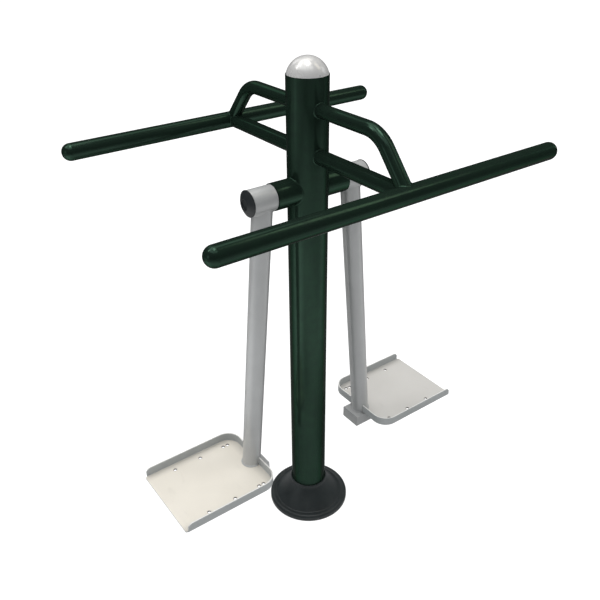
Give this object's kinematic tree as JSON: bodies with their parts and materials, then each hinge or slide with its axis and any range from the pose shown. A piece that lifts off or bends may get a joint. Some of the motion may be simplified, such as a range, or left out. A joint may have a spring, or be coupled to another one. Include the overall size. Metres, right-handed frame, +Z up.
{
  "type": "outdoor pendulum walker",
  "caption": "Park trainer: a round post with two parallel handlebars and a cross axle, from which splayed arms hang foot trays that swing sideways.",
  "frame": {"origin": "on the ground, under the centre of the post", "axes": "+Z up; +X along the handlebars and the axle; +Y from the near handlebar to the far one"},
  "size_m": [1.072, 0.8148, 1.508],
  "materials": {
    "green_paint": "gloss powder coat, very dark green",
    "silver_dome": "satin silver pearl",
    "silver_paint": "satin silver-grey powder coat",
    "tray_paint": "satin pale grey powder coat, worn warm on the floor",
    "black_cover": "satin moulded black",
    "charcoal_cap": "satin moulded charcoal",
    "black_rubber": "matt",
    "zinc_steel": "hot-dip galvanised",
    "machined_steel": "turned, oiled",
    "bearing_steel": "ground",
    "cage_brass": "pressed"
  },
  "bodies": {
    "frame": {"base_flange": "zinc_steel", "base_gussets": "zinc_steel", "base_cover": "black_cover", "main_post": "green_paint", "post_cap": "silver_dome", "lower_bracket_tube": "green_paint", "upper_bracket_tube": "green_paint", "near_handlebar": "green_paint", "far_handlebar": "green_paint", "handlebar_end_caps": "green_paint", "axle_tube": "green_paint", "axle_end_discs": "zinc_steel", "stop_buffers": "black_rubber", "axle_shaft": "machined_steel", "thrust_sleeves": "machined_steel", "bearing_inner_rings": "bearing_steel", "inner_ring_spacers": "machined_steel", "retaining_washers": "zinc_steel", "shaft_nuts": "zinc_steel"},
    "left_pendulum": {"left_hub_sleeve": "silver_paint", "left_stop_dog": "machined_steel", "left_shaft_seal": "black_rubber", "left_bearing_outer_rings": "bearing_steel", "left_bearing_balls": "bearing_steel", "left_bearing_cages": "cage_brass", "left_outer_ring_spacer": "machined_steel", "left_circlip": "machined_steel", "left_hub_cap": "charcoal_cap", "left_swing_arm": "silver_paint", "left_tray_beam": "silver_paint", "left_beam_end_plates": "silver_paint", "left_foot_tray": "tray_paint"},
    "right_pendulum": {"right_hub_sleeve": "silver_paint", "right_stop_dog": "machined_steel", "right_shaft_seal": "black_rubber", "right_bearing_outer_rings": "bearing_steel", "right_bearing_balls": "bearing_steel", "right_bearing_cages": "cage_brass", "right_outer_ring_spacer": "machined_steel", "right_circlip": "machined_steel", "right_hub_cap": "charcoal_cap", "right_swing_arm": "silver_paint", "right_tray_beam": "silver_paint", "right_beam_end_plates": "silver_paint", "right_foot_tray": "tray_paint"}
  },
  "joints": [
    {"name": "left_swing", "type": "hinge", "parent": "frame", "child": "left_pendulum", "pos_m": [-0.1565, 0, 1.159], "axis": [1, 0, 0], "range_deg": [-35, 35]},
    {"name": "right_swing", "type": "hinge", "parent": "frame", "child": "right_pendulum", "pos_m": [0.1565, 0, 1.159], "axis": [1, 0, 0], "range_deg": [-35, 35]}
  ]
}
